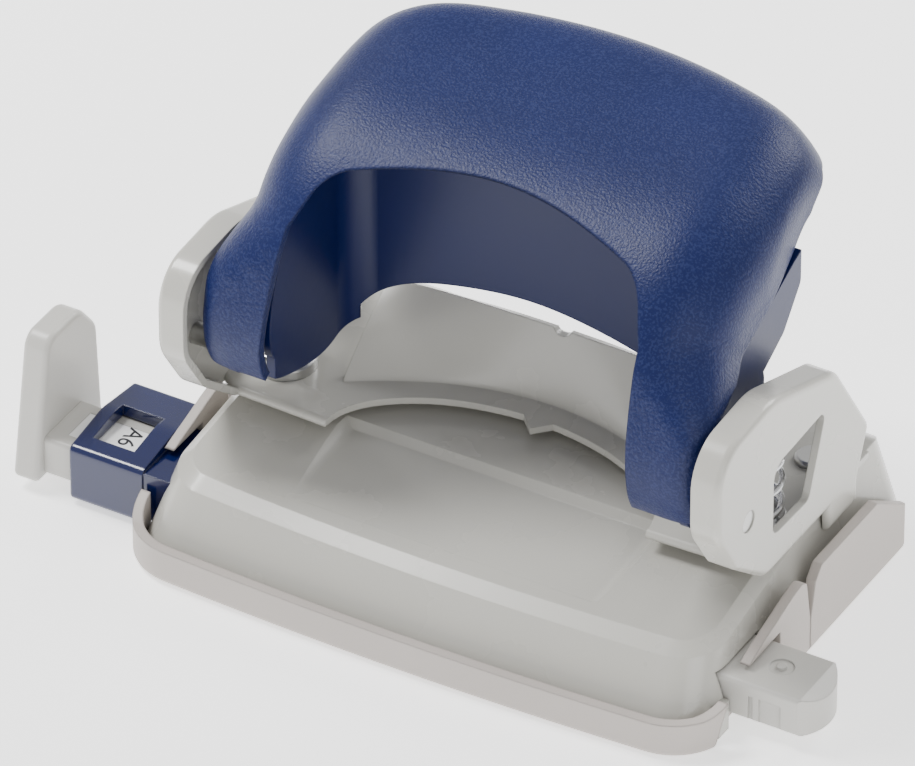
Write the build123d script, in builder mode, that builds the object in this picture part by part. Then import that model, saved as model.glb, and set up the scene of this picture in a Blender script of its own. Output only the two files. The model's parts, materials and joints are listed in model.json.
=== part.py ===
from build123d import *
import os
from math import cos, pi, radians, sin

# Two-hole desk punch. Millimetres. X runs from hole to hole, -Y is the front where the paper
# goes in, +Z is up. The origin is on the desk, midway between the two punch pins.

os.makedirs("parts", exist_ok=True)

# ---------------------------------------------------------------- driving sizes
hole_spacing = 80.0
pin_x = hole_spacing / 2
pin_radius = 2.75
running_gap = 0.05
body_gap = 0.4

sheet = 1.2
plate_top = 19.5
plate_bottom = plate_top - sheet
paper_slot = 1.9
bed_top = plate_bottom - paper_slot
bed_thickness = 2.2
bed_bottom = bed_top - bed_thickness
throat_end = 12.0

tray_half_width = 50.5
tray_wall = 1.6
tray_floor = 1.6
tray_front = -35.6
tray_rear = 29.6
tray_bow = 1.8
fold_y = -1.0
fold_gap = 0.3

base_half_width = tray_half_width - tray_wall - 0.2
base_bottom = 2.2
base_rear = 34.8

ear_outer = 47.5
ear_inner = ear_outer - sheet
ear_flange = 42.8
frame_rear = 24.0

pivot_y = -15.2
pivot_z = 32.4
pivot_radius = 1.75

cover_sheet = 1.5
arch_half_width = 31.0
press_height = 36.0
arm_inner = 37.6
arm_outer = 39.1

rail_front = -22.6
rail_rear = -11.2
rail_bottom = 2.6
rail_top = 9.2
rail_left = -68.8
rail_right = 62.6
rail_gap = 0.35

wide = 70.0  # farther out than any side of the punch


def step_between(low, high, value):
    """0 below low, 1 above high, and a smooth rise between."""
    share = min(max((value - low) / (high - low), 0.0), 1.0)
    return share * share * (3 - 2 * share)


def plan_outline(half_width, front, rear, front_radius, rear_radius):
    """Rounded plan outline with a slightly bowed front edge."""
    with BuildSketch() as outline:
        with BuildLine():
            Polyline(
                (half_width, front + tray_bow),
                (half_width, rear),
                (-half_width, rear),
                (-half_width, front + tray_bow),
            )
            ThreePointArc(
                (-half_width, front + tray_bow), (0, front), (half_width, front + tray_bow)
            )
        make_face()
        fillet(outline.vertices().sort_by(Axis.Y)[:2], front_radius)
        fillet(outline.vertices().sort_by(Axis.Y)[-2:], rear_radius)
    return outline.sketch


def side_area(*points):
    """Closed straight-sided area in the Y-Z plane."""
    with BuildSketch(Plane.YZ) as area:
        with BuildLine():
            Polyline(*points, close=True)
        make_face()
    return area.sketch


def rounded_area(*corners):
    """Closed straight-sided area from corners (u, v, rounding radius)."""
    with BuildSketch() as area:
        with BuildLine():
            Polyline(*[(u, v) for u, v, radius in corners], close=True)
        make_face()
        for u, v, radius in corners:
            if radius > 0:
                fillet(area.vertices().sort_by_distance((u, v, 0))[0], radius)
    return area.sketch


# ---------------------------------------------------------------- chip tray
# The soft tray wraps the base. Its side bands rise over the format rail; a slit on each side
# frees the rear part, which folds down along a line in the floor to empty the chips.
rim_front = 6.0
rim_peak = 14.6
rail_arch = 10.2
slit_bottom = 6.6

with BuildPart() as tray_shell:
    with BuildSketch():
        add(plan_outline(tray_half_width, tray_front, tray_rear, 10, 1.7))
    extrude(amount=30)
    fillet(tray_shell.edges().group_by(Axis.Z)[0], 1.2)
    with BuildSketch(Plane.XY.offset(tray_floor)):
        add(
            plan_outline(
                tray_half_width - tray_wall,
                tray_front + tray_wall,
                tray_rear - tray_wall,
                10 - tray_wall,
                0.1,
            )
        )
    extrude(amount=30, mode=Mode.SUBTRACT)

with BuildSketch(Plane.YZ) as above_front_rim:
    with BuildLine():
        Spline(
            (-30, rim_front),
            (-24, 8.0),
            (-18, 10.9),
            (-11, 12.9),
            (-5.4, rim_peak - 0.2),
            (-3.8, rim_peak),
        )
        Polyline(
            (-3.8, rim_peak),
            (-2.4, rim_peak - 0.8),
            (fold_y - fold_gap / 2, slit_bottom),
            (fold_y - fold_gap / 2, -1),
            (60, -1),
            (60, 40),
            (-60, 40),
            (-60, rim_front),
            (-30, rim_front),
        )
    make_face()

with BuildSketch(Plane.YZ) as right_opening:
    with BuildLine():
        Spline(
            (-29.0, -1), (-27.0, 4.6), (-24.0, 9.2), (-19.4, rail_arch - 0.1), (-14, rail_arch)
        )
        Polyline((-14, rail_arch), (rail_rear + 0.8, rail_arch), (rail_rear + 0.8, -1), (-29.0, -1))
    make_face()

with BuildPart() as front_part:
    add(tray_shell.part)
    extrude(above_front_rim.sketch, amount=wide, both=True, mode=Mode.SUBTRACT)
    with Locations((tray_half_width, 0, 0)):
        add(extrude(right_opening.sketch, amount=3, both=True, mode=Mode.PRIVATE), mode=Mode.SUBTRACT)
    with Locations((-tray_half_width, (rail_front + rail_rear) / 2, 0)):
        Box(4, 15.2, 22, mode=Mode.SUBTRACT)
front_part.part.label = "tray_front"
export_step(front_part.part, "parts/tray_front.step")

wing_top = 14.4
with BuildPart() as flap_part:
    add(tray_shell.part)
    extrude(
        side_area(
            (-60, -1),
            (fold_y + fold_gap / 2, -1),
            (fold_y + fold_gap / 2, slit_bottom),
            (0.4, wing_top - 2.0),
            (2.2, wing_top),
            (19.4, wing_top),
            (tray_rear + 0.1, 7.6),
            (60, 7.6),
            (60, 40),
            (-60, 40),
        ),
        amount=wide,
        both=True,
        mode=Mode.SUBTRACT,
    )
    # room for the side walls of the base to pass the rear wall of the flap
    for x in (-1, 1):
        with Locations((x * (tray_half_width - tray_wall - 2.4), tray_rear - 1.0, 8)):
            Box(4.8, 2.4, 12.2, mode=Mode.SUBTRACT)
    # the rear corner leans up off the desk
    extrude(
        side_area((20, -0.1), (tray_rear + 1, 0.9), (tray_rear + 1, -2), (20, -2)),
        amount=wide,
        both=True,
        mode=Mode.SUBTRACT,
    )
flap_part.part.label = "tray_flap"
export_step(flap_part.part, "parts/tray_flap.step")

# ---------------------------------------------------------------- base body
bed_front_top = 13.4


def base_form(inset):
    """Base hull drawn in by inset all round: a tapered block under a sloping, stepped top."""
    with BuildPart() as hull:
        with BuildSketch(Plane.XY.offset(base_bottom)) as low:
            add(
                plan_outline(
                    base_half_width - inset,
                    tray_front + tray_wall + 0.4 + inset,
                    base_rear - inset,
                    8.4 - inset,
                    5 - inset,
                )
            )
        with BuildSketch(Plane.XY.offset(base_bottom + 20)) as high:
            add(
                plan_outline(
                    base_half_width - 4.4 - inset,
                    tray_front + 14.6 + inset,
                    base_rear - 4 - inset,
                    6 - inset,
                    4 - inset,
                )
            )
        loft()
        top = bed_top - inset
        front_top = bed_front_top - inset
        deck = plate_bottom - inset
        with BuildSketch(Plane.YZ):
            with BuildLine():
                Polyline((-60, front_top - 2), (-25, front_top), (-6, top), (throat_end, top))
                Polyline((throat_end, top), (throat_end, deck), (frame_rear + 4, deck))
                ThreePointArc(
                    (frame_rear + 4, deck), (frame_rear + 8.6, deck - 2.8), (base_rear, deck - 8)
                )
                Polyline((base_rear, deck - 8), (60, deck - 8), (60, 60), (-60, 60), (-60, front_top - 2))
            make_face()
        extrude(amount=wide, both=True, mode=Mode.SUBTRACT)
        if inset == 0:
            front_edge = hull.edges().filter_by_position(Axis.Z, front_top - 1.5, front_top + 1.5)
            chamfer(front_edge.filter_by_position(Axis.Y, -30, -25.2), 1.6)
    return hull.part


base_outside = base_form(0)
base_inside = base_form(bed_thickness).moved(Location((0, 0, -0.01)))
dish_half_width = 28.0
rivet_places = [(x, 18.0) for x in (-40.0, -14.0, 14.0, 40.0)]
rivet_radius = 1.5
die_seat_radius = 4.2
foot_x = 48.3
foot_y = -24.4
foot_width = 3.0
foot_top = 5.4

with BuildPart() as dish_form:
    extrude(
        side_area((-23.0, 13.66), (-4.5, 15.2), (0.5, 20), (-23.0, 20)),
        amount=dish_half_width,
        both=True,
    )
    fillet(dish_form.edges().group_by(Axis.Z)[0], 1.2)
    lowest = dish_form.edges().filter_by(GeomType.LINE).filter_by_position(Axis.Y, -16, -11)
    fillet(lowest.filter_by_position(Axis.Z, 13, 16), 3.0)

with BuildPart() as base_body:
    add(base_outside)
    add(base_inside, mode=Mode.SUBTRACT)
    add(dish_form.part, mode=Mode.SUBTRACT)
    # holes for the two dies, then for the rivets of the upper frame
    with BuildSketch(Plane.XY.offset(bed_bottom - 1)):
        with Locations((-pin_x, 0), (pin_x, 0)):
            Circle(die_seat_radius)
    extrude(amount=6, mode=Mode.SUBTRACT)
    with BuildSketch(Plane.XY.offset(bed_bottom - 1)):
        with Locations(*rivet_places):
            Circle(rivet_radius + 0.02)
    extrude(amount=8, mode=Mode.SUBTRACT)
    # passage for the format rail through both side walls
    with Locations((0, (rail_front + rail_rear) / 2, 0)):
        Box(2 * wide, rail_rear - rail_front + 2 * rail_gap, 2 * (rail_top + rail_gap), mode=Mode.SUBTRACT)
    with Locations((-base_half_width, (rail_front + rail_rear) / 2, 0)):
        Box(6, 13.9, 2 * 10.0, mode=Mode.SUBTRACT)
    # foot that reaches the desk through the opening in the tray's side band
    with Locations((foot_x, foot_y, foot_top / 2 + 0.05)):
        Box(sheet, foot_width, foot_top - 0.1)
base_body.part.label = "base_body"
export_step(base_body.part, "parts/base_body.step")

# ---------------------------------------------------------------- dies
die_bore = pin_radius + running_gap
for name, x in (("die_left", -pin_x), ("die_right", pin_x)):
    with BuildPart() as die:
        with BuildSketch(Plane.XY.offset(bed_bottom)):
            with Locations((x, 0)):
                Circle(die_seat_radius - 0.02)
        extrude(amount=bed_thickness - 0.1)
        chamfer(die.edges().group_by(Axis.Z)[-1], 0.3)
        with Locations((x, 0, bed_top)):
            Hole(die_bore)
    die.part.label = name
    export_step(die.part, f"parts/{name}.step")

# ---------------------------------------------------------------- upper frame: plate, web and ears
lip_tip_x = 27.3
lip_tip_y = -9.7
lip_half_width = 25.8
tab_half_width = 2.5
tab_tip_y = 3.9
edge_middle_y = 6.5
guide_seat_radius = 4.3
web_height = 12.0
web_half_width = 30.0


def web_foot(x):
    """Where the web leaves the plate: a hollow curve that follows the plate's front edge."""
    return 10.4 - 8.0 * (x / lip_half_width) ** 2


def web_point(x, rise):
    """Point of the web's front surface; rise runs from 0 at the foot to 1 at the top edge."""
    foot = web_foot(x)
    top = 13.6
    drop = 1.4 * (x / web_half_width) ** 4
    z = plate_bottom + 0.5 + (web_height + 0.7 - drop) * rise
    return (x, foot + (top - foot) * rise**1.25, z)


web_rows = [
    [web_point(-web_half_width + 2 * web_half_width * i / 24, j / 10) for i in range(25)]
    for j in range(11)
]
web_surface = Face.make_surface_from_array_of_points(
    [[Vector(*p) for p in row] for row in web_rows], tol=0.01
)
web_solid = Solid.thicken(web_surface, sheet)

leg_bottom = 14.2
ear_shape = rounded_area(
    (-9.6, plate_bottom, 3),
    (-18.8, 25.8, 6),
    (-24.4, 34.4, 8),
    (-24.4, 48.6, 7),
    (-8.0, 49.6, 12),
    (11.6, 42.6, 6),
    (22.2, 26.4, 2),
    (18.9, 18.6, 1),
    (18.9, leg_bottom, 0),
    (10.0, leg_bottom, 0),
    (9.6, plate_bottom, 0),
)
ear_inside = rounded_area(
    (-8.9, 12.0, 0),
    (-8.9, plate_top - 0.2, 0),
    (-18.0, 26.7, 5),
    (-23.2, 34.8, 7),
    (-23.2, 47.5, 6),
    (-8.1, 48.4, 11),
    (10.9, 41.7, 5),
    (20.8, 26.3, 1),
    (19.9, 12.0, 0),
)
ear_window = rounded_area(
    (-7.7, 24.8, 1.6), (3.2, 24.4, 1.6), (8.2, 37.9, 1.4), (-7.7, 37.2, 3.0)
)

with BuildPart() as ear:
    with BuildSketch(Plane.YZ.offset(ear_flange)):
        add(ear_shape)
    extrude(amount=ear_outer - ear_flange)
    fillet(ear.faces().sort_by(Axis.X)[-1].edges(), 1.1)
    with BuildSketch(Plane.YZ.offset(ear_flange)):
        add(ear_inside)
    extrude(amount=ear_inner - ear_flange, mode=Mode.SUBTRACT)
    with BuildSketch(Plane.YZ.offset(ear_flange)):
        add(ear_window)
    extrude(amount=ear_outer - ear_flange, mode=Mode.SUBTRACT)
    with BuildSketch(Plane.YZ.offset(ear_flange)):
        with Locations((pivot_y, pivot_z)):
            Circle(pivot_radius + 0.02)
    extrude(amount=ear_outer - ear_flange, mode=Mode.SUBTRACT)

with BuildPart() as upper_frame:
    with BuildSketch(Plane.XY.offset(plate_bottom)) as plate:
        with BuildLine():
            half = [
                (lip_tip_x, lip_tip_y),
                (ear_inner - 2.0, lip_tip_y + 0.6),
                (ear_inner + 0.1, lip_tip_y + 2.6),
                (ear_inner + 0.1, frame_rear),
            ]
            Spline(
                (tab_half_width, edge_middle_y),
                (8.0, 5.8),
                (15.0, 3.8),
                (21.1, 0.5),
                (lip_half_width, -4.2),
                (lip_tip_x, lip_tip_y),
            )
            Polyline(*half)
            Polyline(half[-1], (0, frame_rear))
            Polyline((0, frame_rear), (0, tab_tip_y), (tab_half_width, edge_middle_y))
        make_face()
        mirror(about=Plane.YZ)
    extrude(amount=sheet)
    front_edges = upper_frame.edges().filter_by_position(Axis.Z, plate_top - 0.01, plate_top + 0.01)
    fillet(front_edges.filter_by_position(Axis.Y, -9.8, -8.0), 0.9)
    add(web_solid)
    add(ear.part)
    add(ear.part.mirror(Plane.YZ))
    # notch in the middle of the web's top edge
    with Locations((0, 13.6, plate_top + web_height + 0.6)):
        Cylinder(1.6, 8, rotation=(90, 0, 0), mode=Mode.SUBTRACT)
    with BuildSketch(Plane.XY.offset(plate_bottom - 1)):
        with Locations((-pin_x, 0), (pin_x, 0)):
            Circle(guide_seat_radius)
        with Locations(*rivet_places):
            Circle(rivet_radius + 0.02)
    extrude(amount=4, mode=Mode.SUBTRACT)
upper_frame.part.label = "upper_frame"
export_step(upper_frame.part, "parts/upper_frame.step")

with BuildPart() as rivets:
    with BuildSketch(Plane.XY.offset(plate_top + 0.02)):
        with Locations(*rivet_places):
            Circle(2.6)
    extrude(amount=1.0)
    chamfer(rivets.edges().group_by(Axis.Z)[-1], 0.4)
    with BuildSketch(Plane.XY.offset(bed_bottom)):
        with Locations(*rivet_places):
            Circle(rivet_radius)
    extrude(amount=plate_top + 0.1 - bed_bottom)
rivets.part.label = "frame_rivets"
export_step(rivets.part, "parts/frame_rivets.step")

# ---------------------------------------------------------------- punch pins, guides, clips, springs
guide_top = plate_top + 1.9
pin_tip = plate_bottom + 0.3
pin_top = press_height - 0.4
clip_bottom = 33.2
clip_thickness = 0.9
groove_radius = 2.3
wire_radius = 0.5
coil_radius = 4.2
spring_bottom = guide_top + 0.03
spring_top = clip_bottom - 0.03
closed_turns = 0.9
open_turns = 2.1


def coil_point(share, x):
    """Centre of the spring wire; the end turns lie nearly closed."""
    turns = 2 * closed_turns + open_turns
    turn = share * turns
    closed_rise = 2.1 * wire_radius
    low = spring_bottom + wire_radius
    high = spring_top - wire_radius
    rise = high - low - 2 * closed_turns * closed_rise
    middle = min(max(turn - closed_turns, 0.0), open_turns) / open_turns
    height = low + min(turn, closed_turns) * closed_rise
    height += rise * middle
    height += max(turn - closed_turns - open_turns, 0.0) * closed_rise
    angle = 2 * pi * turn
    return (x + coil_radius * cos(angle), coil_radius * sin(angle), height)


for side, x in (("left", -pin_x), ("right", pin_x)):
    with BuildPart() as guide:
        with BuildSketch(Plane.XY.offset(plate_bottom + 0.1)):
            with Locations((x, 0)):
                Circle(guide_seat_radius - 0.02)
        extrude(amount=sheet)
        with BuildSketch(Plane.XY.offset(plate_top + 0.01)):
            with Locations((x, 0)):
                Circle(guide_seat_radius + 0.7)
        extrude(amount=guide_top - plate_top - 0.01)
        chamfer(guide.edges().group_by(Axis.Z)[-1], 0.3)
        with Locations((x, 0, guide_top)):
            Hole(die_bore)
    guide.part.label = f"pin_guide_{side}"
    export_step(guide.part, f"parts/pin_guide_{side}.step")

    with BuildPart() as pin:
        with BuildSketch(Plane.XZ):
            with BuildLine():
                Polyline(
                    (x, pin_tip),
                    (x + pin_radius, pin_tip),
                    (x + pin_radius, clip_bottom),
                    (x + groove_radius, clip_bottom),
                    (x + groove_radius, clip_bottom + clip_thickness),
                    (x + pin_radius, clip_bottom + clip_thickness),
                    (x + pin_radius, pin_top - 0.8),
                )
                Polyline((x + pin_radius, pin_top - 0.8), (x + pin_radius - 1.6, pin_top), (x, pin_top))
                Polyline((x, pin_top), (x, pin_tip))
            make_face()
        revolve(axis=Axis((x, 0, 0), (0, 0, 1)))
        # hollow-ground cutting end
        with Locations((x, 0, pin_tip - 2.6)):
            Cylinder(3.6, 10, rotation=(90, 0, 0), mode=Mode.SUBTRACT)
    pin.part.label = f"punch_pin_{side}"
    export_step(pin.part, f"parts/punch_pin_{side}.step")

    with BuildPart() as clip:
        with BuildSketch(Plane.XY.offset(clip_bottom + 0.02)):
            with Locations((x, 0)):
                Circle(4.8)
                Circle(groove_radius + 0.01, mode=Mode.SUBTRACT)
            with Locations((x, -4)):
                Rectangle(1.9 * groove_radius, 8, mode=Mode.SUBTRACT)
        extrude(amount=clip_thickness - 0.04)
    clip.part.label = f"pin_clip_{side}"
    export_step(clip.part, f"parts/pin_clip_{side}.step")

    with BuildPart() as spring:
        with BuildLine():
            wire = Spline(*[coil_point(i / 64, x) for i in range(65)])
        with BuildSketch(Plane(origin=wire @ 0, z_dir=wire % 0)):
            Circle(wire_radius)
        sweep()
    spring.part.label = f"spring_{side}"
    export_step(spring.part, f"parts/spring_{side}.step")

    with BuildPart() as pivot:
        length = ear_outer - 0.2 - (arm_inner - 0.4)
        centre = ear_outer - 0.2 - length / 2
        with Locations((centre if x > 0 else -centre, pivot_y, pivot_z)):
            Cylinder(pivot_radius, length, rotation=(0, 90, 0))
    pivot.part.label = f"pivot_pin_{side}"
    export_step(pivot.part, f"parts/pivot_pin_{side}.step")

# ---------------------------------------------------------------- handle cover
cover_profile = Edge.make_spline(
    [
        Vector(0, -20.6, 32.4),
        Vector(0, -22.3, 37.0),
        Vector(0, -20.9, 48.0),
        Vector(0, -16.8, 58.0),
        Vector(0, -8.8, 66.6),
        Vector(0, 1.0, 70.8),
        Vector(0, 12.0, 72.7),
        Vector(0, 24.0, 74.0),
        Vector(0, 33.0, 72.6),
        Vector(0, 37.6, 66.5),
        Vector(0, 38.4, 60.0),
    ]
)
tongue_half = 42.4
palm_half = 39.6
crest_half = 38.0
rear_pull = 9.5


def cover_point(along, across):
    """Point of the cover's outer skin: along its side profile, and across from side to side."""
    place = cover_profile @ along
    above_tongue = step_between(46, 61, place.Z) if place.Y < 0 else 1.0
    at_crest = step_between(0.55, 0.85, along)
    half = tongue_half + (palm_half - tongue_half) * above_tongue
    half += (crest_half - palm_half) * at_crest
    # the side bend is tight on the tongues and wide above them
    bend_wide = 4.0 + 9.0 * above_tongue
    bend_deep = 4.5 + 6.5 * above_tongue - 3.0 * at_crest
    skirt = 0.6 + 8.4 * above_tongue - 6.0 * at_crest
    # from straight back on the tongues to straight down over the palm
    tilt = radians(90) * step_between(0.08, 0.62, along)
    inward = Vector(0, cos(tilt), -sin(tilt))
    flat = half - bend_wide
    bend_length = (bend_wide + bend_deep) * pi / 4
    distance = abs(across) * (flat + bend_length + skirt)
    if distance < flat:
        x = distance
        depth = 0.0
    elif distance < flat + bend_length:
        turn = (distance - flat) / bend_length * pi / 2
        x = flat + bend_wide * sin(turn)
        depth = bend_deep * (1 - cos(turn))
    else:
        x = half
        depth = bend_deep + distance - flat - bend_length
    point = place + inward * depth
    pull = rear_pull * (x / crest_half) ** 2 * step_between(0.45, 0.85, along)
    return Vector(x if across > 0 else -x, point.Y - pull, point.Z)


rows_along = 44
rows_across = 32
cover_surface = Face.make_surface_from_array_of_points(
    [
        [cover_point(i / rows_along, j / rows_across) for j in range(-rows_across, rows_across + 1)]
        for i in range(rows_along + 1)
    ],
    tol=0.08,
)

with BuildPart() as cover:
    add(Solid.thicken(cover_surface, cover_sheet))
    with BuildSketch(Plane.XZ) as arch:
        with BuildLine():
            Polyline(
                (arch_half_width, 20),
                (arch_half_width, 38),
                (29.6, 58.0),
                (26.4, 65.4),
            )
            ThreePointArc((26.4, 65.4), (0, 69.0), (-26.4, 65.4))
            Polyline(
                (-26.4, 65.4),
                (-29.6, 58.0),
                (-arch_half_width, 38),
                (-arch_half_width, 20),
                (arch_half_width, 20),
            )
        make_face()
        fillet(arch.vertices().filter_by_position(Axis.Y, 65, 66), 7)
    extrude(amount=40, mode=Mode.SUBTRACT)
    # lower edge of the side skirts and of the rear skirt
    extrude(
        side_area(
            (-14.4, 40.0),
            (-12.0, 48.0),
            (0.0, 53.2),
            (13.0, 59.2),
            (20.0, 62.6),
            (25.0, 66.8),
            (60, 66.8),
            (60, 0),
            (-14.4, 0),
        ),
        amount=wide,
        both=True,
        mode=Mode.SUBTRACT,
    )
    # clearance round the pivots
    with Locations((0, pivot_y, pivot_z)):
        Box(2 * wide, 2 * pivot_radius + 1.6, 2 * pivot_radius + 1.6, mode=Mode.SUBTRACT)
cover.part.label = "handle_cover"
export_step(cover.part, "parts/handle_cover.step")

# ---------------------------------------------------------------- lever bracket in the handle
web_front = 5.0
wall_outer = arch_half_width + 0.2 + cover_sheet
lever_side = rounded_area(
    (-18.4, 29.0, 2.5),
    (-18.4, 42, 3),
    (-12, 47.0, 4),
    (4.4, 46.6, 4),
    (4.4, press_height, 0),
    (-9.6, press_height, 1),
    (-12.0, 29.0, 2),
)
lever_stay = rounded_area(
    (-12.0, 44.0, 0),
    (4.0, 44.0, 0),
    (10.2, 47.4, 2),
    (15.2, 53.5, 2),
    (15.2, 59.2, 0),
    (13.0, 58.4, 0),
    (0.0, 52.4, 0),
    (-11.0, 47.6, 0),
)


def under_cover(along):
    """Side profile just inside the cover's inner skin."""
    place = cover_profile @ along
    heading = cover_profile % along
    inward = Vector(0, heading.Z, -heading.Y)
    point = place + inward * (cover_sheet + 2.2)
    return (point.Y, point.Z)


with BuildSketch(Plane.YZ) as inside_cover:
    with BuildLine():
        skin = [under_cover(i / 16) for i in range(13)]
        Spline(*skin)
        Polyline(skin[-1], (skin[-1][0], 20), (skin[0][0], 20), skin[0])
    make_face()

with BuildPart() as bracket:
    with BuildSketch(Plane.XY.offset(20)):
        add(
            rounded_area(
                (-wall_outer, -24, 0),
                (-wall_outer, web_front + cover_sheet, 6),
                (wall_outer, web_front + cover_sheet, 6),
                (wall_outer, -24, 0),
            )
        )
        add(
            rounded_area(
                (-wall_outer + cover_sheet, -30, 0),
                (-wall_outer + cover_sheet, web_front, 4.5),
                (wall_outer - cover_sheet, web_front, 4.5),
                (wall_outer - cover_sheet, -30, 0),
            ),
            mode=Mode.SUBTRACT,
        )
    extrude(amount=60)
    extrude(inside_cover.sketch, amount=wide, both=True, mode=Mode.INTERSECT)
    # lower edge of the side walls
    with BuildSketch(Plane.YZ):
        with BuildLine():
            Spline((-22.5, 34.6), (-18.0, 31.0), (-10.0, 28.0), (-2.0, 26.9), (3.0, 28.4), (7.0, 31.5))
            Polyline((7.0, 31.5), (7.0, 0), (-22.5, 0), (-22.5, 34.6))
        make_face()
    extrude(amount=wide, both=True, mode=Mode.SUBTRACT)
    # arched lower edge of the rear web
    with BuildSketch(Plane.XZ.offset(-web_front + 0.8)):
        with BuildLine():
            Spline((-30, 30.5), (-24, 36.2), (-12, 40.4), (0, 41.8), (12, 40.4), (24, 36.2), (30, 30.5))
            Polyline((30, 30.5), (30, 0), (-30, 0), (-30, 30.5))
        make_face()
    extrude(amount=-20, mode=Mode.SUBTRACT)
    for plane_x in (arm_inner, -arm_outer):
        with BuildSketch(Plane.YZ.offset(plane_x)):
            add(lever_side)
            add(lever_stay)
            with Locations((pivot_y, pivot_z)):
                Circle(pivot_radius + running_gap, mode=Mode.SUBTRACT)
        extrude(amount=arm_outer - arm_inner)
    # shelves that press on the punch pins
    for x in (-1, 1):
        low = wall_outer - 0.5
        high = pin_x + 1.8
        with Locations((x * (low + high) / 2, -1.5, press_height + sheet / 2)):
            Box(high - low, 11, sheet)
bracket.part.label = "lever_bracket"
export_step(bracket.part, "parts/lever_bracket.step")

# ---------------------------------------------------------------- paper stop: rail, plate, housing
rail_middle = (rail_front + rail_rear) / 2
rail_width = rail_rear - rail_front
scale_left = -66.0
scale_right = 26.0
scale_width = 6.4

with BuildPart() as rail:
    with BuildSketch(Plane.YZ.offset(rail_left)):
        add(
            rounded_area(
                (rail_front, rail_bottom, 0.6),
                (rail_rear, rail_bottom, 0.6),
                (rail_rear, rail_top, 0.8),
                (rail_front, rail_top, 0.8),
            )
        )
    extrude(amount=rail_right - rail_left)
    # rounded right end, seen from above
    with BuildSketch(Plane.XY):
        with Locations((rail_right, rail_middle)):
            Rectangle(16, 20)
        with Locations((rail_right - 6.6, rail_middle)):
            Ellipse(6.6, rail_width / 2 + 1.4, mode=Mode.SUBTRACT)
        with Locations((rail_right - 7, rail_middle)):
            Rectangle(4, 30, mode=Mode.SUBTRACT)
    extrude(amount=12, mode=Mode.SUBTRACT)
    # thumb facet on the end, and a clip slot in the front face
    with Locations(Location((rail_right, rail_middle, rail_top + 1.0), (0, 28, 0))):
        Box(7.5, 20, 4, mode=Mode.SUBTRACT)
    for x, width in ((rail_right - 10.4, 0.7), (rail_right - 7.2, 3.6)):
        with Locations((x, rail_front, (rail_bottom + rail_top) / 2 - 1.6)):
            Box(width, 0.8, rail_top - rail_bottom - 1.2, mode=Mode.SUBTRACT)
    with Locations((rail_right - 8.5, rail_middle + 0.4, rail_top)):
        Cylinder(1.9, 0.4, mode=Mode.SUBTRACT)
        Cylinder(0.8, 0.5)
    # seat of the format scale
    with Locations(((scale_left + scale_right) / 2, rail_middle, rail_top)):
        Box(scale_right - scale_left, scale_width, 0.6, mode=Mode.SUBTRACT)
rail.part.label = "stop_rail"
export_step(rail.part, "parts/stop_rail.step")

with BuildPart() as scale:
    with Locations(((scale_left + scale_right) / 2, rail_middle, rail_top - 0.17)):
        Box(scale_right - scale_left - 0.04, scale_width - 0.04, 0.26)
scale.part.label = "format_scale"
export_step(scale.part, "parts/format_scale.step")

with BuildPart() as stop_plate:
    with BuildSketch(Plane.YZ.offset(rail_left)):
        add(
            rounded_area(
                (-24.8, 1.7, 1), (-5.4, 1.7, 1), (-6.6, 20.5, 4), (-11.0, 25.9, 4), (-20.6, 25.9, 3)
            )
        )
    extrude(amount=-4.4)
    fillet(stop_plate.faces().sort_by(Axis.X)[0].edges(), 0.9)
    fillet(stop_plate.faces().sort_by(Axis.X)[-1].edges(), 0.9)
stop_plate.part.label = "stop_plate"
export_step(stop_plate.part, "parts/stop_plate.step")

housing_left = -63.6
housing_right = -tray_half_width - 0.2
housing_front = -24.0
housing_rear = -4.6
housing_top = 11.3
sleeve_right = -base_half_width + 3

with BuildPart() as housing:
    with BuildSketch(Plane.YZ.offset(housing_left)):
        add(
            rounded_area(
                (housing_front, 0.6, 1),
                (housing_rear, 0.6, 1),
                (housing_rear, housing_top - 0.9, 1.2),
                ((housing_front + housing_rear) / 2, housing_top + 0.5, 9),
                (housing_front, housing_top - 0.9, 1.2),
            )
        )
    extrude(amount=housing_right - housing_left)
    fillet(housing.faces().sort_by(Axis.X)[0].edges(), 0.5)
    with Locations(((housing_right + sleeve_right) / 2, rail_middle, 5.9)):
        Box(sleeve_right - housing_right, rail_width + 2 * rail_gap + 1.6, 8.2)
    with Locations((-56, rail_middle, (rail_bottom + rail_top) / 2)):
        Box(40, rail_width + 2 * rail_gap, rail_top - rail_bottom + 2 * rail_gap, mode=Mode.SUBTRACT)
    # raised rim around the window, then the window itself
    with Locations((-57.6, rail_middle + 0.5, housing_top)):
        Box(7.2, 8.6, 6, mode=Mode.SUBTRACT)
housing.part.label = "rail_housing"
export_step(housing.part, "parts/rail_housing.step")
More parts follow.
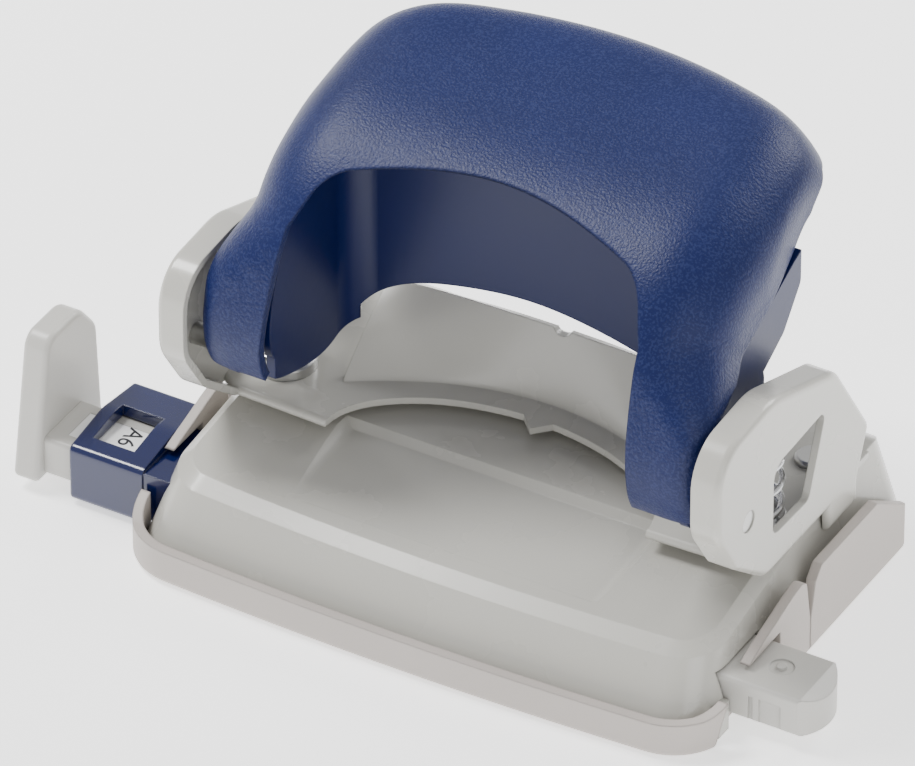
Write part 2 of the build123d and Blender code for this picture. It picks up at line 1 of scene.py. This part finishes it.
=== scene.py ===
import bpy
import json
import math
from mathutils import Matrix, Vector


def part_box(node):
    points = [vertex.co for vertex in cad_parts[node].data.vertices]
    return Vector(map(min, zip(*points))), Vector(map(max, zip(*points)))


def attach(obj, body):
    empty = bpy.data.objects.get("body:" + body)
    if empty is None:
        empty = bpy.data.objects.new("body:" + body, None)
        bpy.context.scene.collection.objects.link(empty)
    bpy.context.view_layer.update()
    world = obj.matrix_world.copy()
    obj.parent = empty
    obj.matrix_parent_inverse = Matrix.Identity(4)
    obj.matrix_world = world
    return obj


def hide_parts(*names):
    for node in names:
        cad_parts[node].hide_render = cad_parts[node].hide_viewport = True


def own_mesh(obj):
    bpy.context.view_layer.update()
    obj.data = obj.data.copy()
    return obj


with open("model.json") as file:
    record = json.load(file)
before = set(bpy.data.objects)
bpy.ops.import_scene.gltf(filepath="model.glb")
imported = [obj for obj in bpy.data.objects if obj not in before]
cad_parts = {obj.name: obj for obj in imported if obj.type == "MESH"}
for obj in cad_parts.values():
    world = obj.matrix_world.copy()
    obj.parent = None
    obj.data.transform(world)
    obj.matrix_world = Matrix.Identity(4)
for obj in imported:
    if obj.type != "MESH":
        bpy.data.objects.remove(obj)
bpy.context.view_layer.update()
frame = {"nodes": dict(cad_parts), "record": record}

MM = 0.001


# ---------------------------------------------------------------- materials
TONGUE_INNER = 31 * MM
TONGUE_TOP = 57 * MM


def step(nodes, links, value, low, high):
    """1 above high and 0 below low, for a value socket."""
    node = nodes.new("ShaderNodeMapRange")
    node.inputs["From Min"].default_value = low
    node.inputs["From Max"].default_value = high
    links.new(value, node.inputs["Value"])
    return node.outputs[0]


def coarse_on_tongues(nodes, links, place, fine):
    """Height of the fine grain, with a coarser leather grain added on the front tongues."""
    split = nodes.new("ShaderNodeSeparateXYZ")
    links.new(place.outputs["Object"], split.inputs[0])
    off_centre = nodes.new("ShaderNodeMath")
    off_centre.operation = "ABSOLUTE"
    links.new(split.outputs["X"], off_centre.inputs[0])
    high = step(nodes, links, split.outputs["Z"], TONGUE_TOP, TONGUE_TOP - 0.6 * MM)
    side = step(nodes, links, off_centre.outputs[0], TONGUE_INNER - 1 * MM, TONGUE_INNER)
    both = nodes.new("ShaderNodeMath")
    both.operation = "MULTIPLY"
    links.new(high, both.inputs[0])
    links.new(side, both.inputs[1])
    coarse = nodes.new("ShaderNodeTexNoise")
    coarse.inputs["Scale"].default_value = 1500.0
    coarse.inputs["Detail"].default_value = 2.0
    links.new(place.outputs["Object"], coarse.inputs["Vector"])
    raised = nodes.new("ShaderNodeMath")
    raised.operation = "MULTIPLY_ADD"
    links.new(coarse.outputs["Fac"], raised.inputs[0])
    links.new(both.outputs[0], raised.inputs[1])
    links.new(fine.outputs["Fac"], raised.inputs[2])
    return raised.outputs[0]


def surface(name, color, rough, bump=0.0, grain=400.0, tone=0.04, metal=0.0, edge=0.35, coat=0.0,
            speckle=0.0, brushed=False, facet=False, shine=0.5):
    """Procedural finish: uneven tone and sheen, a fine grain in relief, and softly broken edges."""
    mat = bpy.data.materials.new(name)
    mat.use_nodes = True
    nodes, links = mat.node_tree.nodes, mat.node_tree.links
    nodes.clear()
    out = nodes.new("ShaderNodeOutputMaterial")
    shader = nodes.new("ShaderNodeBsdfPrincipled")
    links.new(shader.outputs[0], out.inputs[0])
    place = nodes.new("ShaderNodeTexCoord")
    mapping = nodes.new("ShaderNodeMapping")
    if brushed:
        mapping.inputs["Scale"].default_value = (1.0, 1.0, 0.06)
    links.new(place.outputs["Object"], mapping.inputs["Vector"])

    wear = nodes.new("ShaderNodeTexNoise")
    wear.inputs["Scale"].default_value = 45.0
    wear.inputs["Detail"].default_value = 5.0
    links.new(mapping.outputs[0], wear.inputs["Vector"])
    fine = nodes.new("ShaderNodeTexNoise")
    fine.inputs["Scale"].default_value = grain
    fine.inputs["Detail"].default_value = 3.0
    links.new(mapping.outputs[0], fine.inputs["Vector"])

    ramp = nodes.new("ShaderNodeValToRGB")
    ramp.color_ramp.elements[0].position = 0.3
    ramp.color_ramp.elements[1].position = 0.7
    ramp.color_ramp.elements[0].color = [c * (1 - tone) for c in color] + [1]
    ramp.color_ramp.elements[1].color = [min(c * (1 + tone), 1) for c in color] + [1]
    links.new(wear.outputs["Fac"], ramp.inputs[0])
    base = ramp.outputs[0]
    if speckle > 0:
        dots = nodes.new("ShaderNodeMix")
        dots.data_type = "RGBA"
        dots.blend_type = "SCREEN"
        dots.inputs["B"].default_value = (0.30, 0.38, 0.80, 1)
        spread = nodes.new("ShaderNodeMapRange")
        spread.inputs["From Min"].default_value = 0.50
        spread.inputs["From Max"].default_value = 0.42
        spread.inputs["To Max"].default_value = speckle
        links.new(fine.outputs["Fac"], spread.inputs["Value"])
        links.new(spread.outputs[0], dots.inputs["Factor"])
        links.new(base, dots.inputs["A"])
        base = dots.outputs["Result"]
    links.new(base, shader.inputs["Base Color"])

    sheen = nodes.new("ShaderNodeMapRange")
    sheen.inputs["To Min"].default_value = max(rough - 0.05, 0.02)
    sheen.inputs["To Max"].default_value = min(rough + 0.07, 1.0)
    links.new(wear.outputs["Fac"], sheen.inputs["Value"])
    links.new(sheen.outputs[0], shader.inputs["Roughness"])
    shader.inputs["Metallic"].default_value = metal
    shader.inputs["Specular IOR Level"].default_value = shine
    shader.inputs["Coat Weight"].default_value = coat
    shader.inputs["Coat Roughness"].default_value = 0.12

    height = fine.outputs["Fac"]
    if facet:
        height = coarse_on_tongues(nodes, links, place, fine)
    corner = nodes.new("ShaderNodeBevel")
    corner.samples = 4
    corner.inputs["Radius"].default_value = edge * MM
    relief = nodes.new("ShaderNodeBump")
    relief.inputs["Strength"].default_value = bump
    relief.inputs["Distance"].default_value = 0.25 * MM
    links.new(height, relief.inputs["Height"])
    links.new(corner.outputs[0], relief.inputs["Normal"])
    links.new(relief.outputs[0], shader.inputs["Normal"])
    return mat


body_paint = surface("body paint", (0.47, 0.46, 0.42), 0.26, bump=0.03, grain=260, tone=0.02, coat=0.35)
tray_plastic = surface("tray plastic", (0.44, 0.40, 0.37), 0.50, bump=0.12, grain=1500, tone=0.03, edge=0.5)
handle_skin = surface("handle skin", (0.0009, 0.0068, 0.062), 0.40, bump=0.40, grain=2600, tone=0.10,
                      speckle=0.03, edge=0.6, facet=True, shine=0.28)
bracket_paint = surface("bracket paint", (0.0012, 0.006, 0.055), 0.34, bump=0.05, grain=600, tone=0.08,
                        shine=0.3)
rail_plastic = surface("rail plastic", (0.49, 0.48, 0.45), 0.32, bump=0.06, grain=1300, tone=0.02)
housing_plastic = surface("housing plastic", (0.0015, 0.006, 0.055), 0.16, bump=0.05, grain=500, tone=0.06,
                          coat=0.4)
scale_print = surface("scale print", (0.86, 0.86, 0.86), 0.38, bump=0.02, grain=1200, tone=0.02)
ink = surface("ink", (0.015, 0.015, 0.02), 0.45, bump=0.02, grain=1200, tone=0.1, edge=0.05)
plain_steel = surface("plain steel", (0.55, 0.55, 0.54), 0.30, bump=0.10, grain=900, tone=0.06, metal=1.0,
                      brushed=True)
bright_steel = surface("bright steel", (0.72, 0.72, 0.73), 0.14, bump=0.05, grain=900, tone=0.04, metal=1.0,
                       brushed=True)

finish_of = {
    "body_paint": body_paint,
    "tray_grey": tray_plastic,
    "handle_blue": handle_skin,
    "bracket_navy": bracket_paint,
    "rail_grey": rail_plastic,
    "scale_white": scale_print,
    "housing_blue": housing_plastic,
    "steel": plain_steel,
    "bright_steel": bright_steel,
}
slot_of = {part["node"]: part["material_slot"] for part in frame["record"]["subparts"]}
for name, node in frame["nodes"].items():
    node.data.materials.clear()
    node.data.materials.append(finish_of[slot_of[name]])
    for polygon in node.data.polygons:
        polygon.use_smooth = True
    soft_angle = 50 if name == "base_body" else 32
    node.data.set_sharp_from_angle(angle=math.radians(soft_angle))


# ---------------------------------------------------------------- springs, as copies with their own meshes on the base
for side in ("left", "right"):
    coil = bpy.data.objects.new("coil_" + side, frame["nodes"]["spring_" + side].data.copy())
    bpy.context.scene.collection.objects.link(coil)
    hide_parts("spring_" + side)
    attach(coil, "base")
    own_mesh(coil)


# ---------------------------------------------------------------- format mark in the window
def mark(name, words, height, place):
    """Flat printed mark, as a mesh, with its middle at place."""
    curve = bpy.data.curves.new(name, "FONT")
    curve.body = words
    curve.size = height
    curve.align_x = "CENTER"
    curve.align_y = "CENTER"
    curve.extrude = 0.02 * MM
    text = bpy.data.objects.new(name + "_text", curve)
    bpy.context.scene.collection.objects.link(text)
    text.location = place
    text.rotation_euler = (0, 0, math.radians(-90))
    bpy.context.view_layer.update()
    mesh = bpy.data.meshes.new_from_object(text.evaluated_get(bpy.context.evaluated_depsgraph_get()))
    mesh.transform(text.matrix_world)
    bpy.data.objects.remove(text)
    piece = bpy.data.objects.new(name, mesh)
    bpy.context.scene.collection.objects.link(piece)
    mesh.materials.clear()
    mesh.materials.append(ink)
    return piece


scale_low, scale_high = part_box("format_scale")
housing_low, housing_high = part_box("rail_housing")
window_x = housing_low.x + 6.0 * MM
window_y = (scale_low.y + scale_high.y) / 2 + 0.9 * MM
format_mark = mark("format_mark", "A6", 4.0 * MM, (window_x, window_y, scale_high.z + 0.03 * MM))
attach(format_mark, "rail")

# ---------------------------------------------------------------- floor and light
floor_mat = bpy.data.materials.new("floor")
floor_mat.use_nodes = True
floor_shader = floor_mat.node_tree.nodes["Principled BSDF"]
floor_shader.inputs["Base Color"].default_value = (0.92, 0.92, 0.92, 1)
floor_shader.inputs["Roughness"].default_value = 0.6
floor_shader.inputs["Emission Color"].default_value = (1, 1, 1, 1)
floor_shader.inputs["Emission Strength"].default_value = 1.15
bpy.ops.mesh.primitive_plane_add(size=6, location=(0, 0, -0.0002))
floor = bpy.context.object
floor.name = "floor"
floor.data.materials.append(floor_mat)

world = bpy.data.worlds.new("room")
bpy.context.scene.world = world
world.use_nodes = True
world.node_tree.nodes["Background"].inputs[0].default_value = (1.0, 1.0, 1.0, 1)
world.node_tree.nodes["Background"].inputs[1].default_value = 0.75


def softbox(name, place, aim, side, power):
    light = bpy.data.lights.new(name, "AREA")
    light.shape = "SQUARE"
    light.size = side
    light.energy = power
    lamp = bpy.data.objects.new(name, light)
    bpy.context.scene.collection.objects.link(lamp)
    lamp.location = place
    lamp.rotation_mode = "QUATERNION"
    lamp.rotation_quaternion = (Vector(aim) - Vector(place)).to_track_quat("-Z", "Y")
    return lamp


middle = (0, 0, 0.03)
softbox("key", (-0.50, -0.05, 0.80), middle, 0.32, 10.0)
softbox("fill", (0.75, -0.50, 0.40), middle, 0.50, 2.0)
softbox("back", (0.25, 0.80, 0.55), middle, 0.40, 5.0)

# ---------------------------------------------------------------- camera
CAMERA_AZIMUTH = math.radians(30)
CAMERA_ELEVATION = math.radians(36.3)
CAMERA_DISTANCE = 1.7778
CAMERA_LENS = 472.0
aim = Vector((-8.90, -2.20, 28.46)) * MM
back = Vector((
    math.sin(CAMERA_AZIMUTH) * math.cos(CAMERA_ELEVATION),
    -math.cos(CAMERA_AZIMUTH) * math.cos(CAMERA_ELEVATION),
    math.sin(CAMERA_ELEVATION),
))
lens = bpy.data.cameras.new("camera")
lens.sensor_width = 36
lens.lens = CAMERA_LENS
lens.clip_start = 0.1
lens.clip_end = 20
camera = bpy.data.objects.new("camera", lens)
bpy.context.scene.collection.objects.link(camera)
camera.location = aim + back * CAMERA_DISTANCE
camera.rotation_mode = "QUATERNION"
camera.rotation_quaternion = (-back).to_track_quat("-Z", "Y")
bpy.context.scene.camera = camera

bpy.context.view_layer.update()
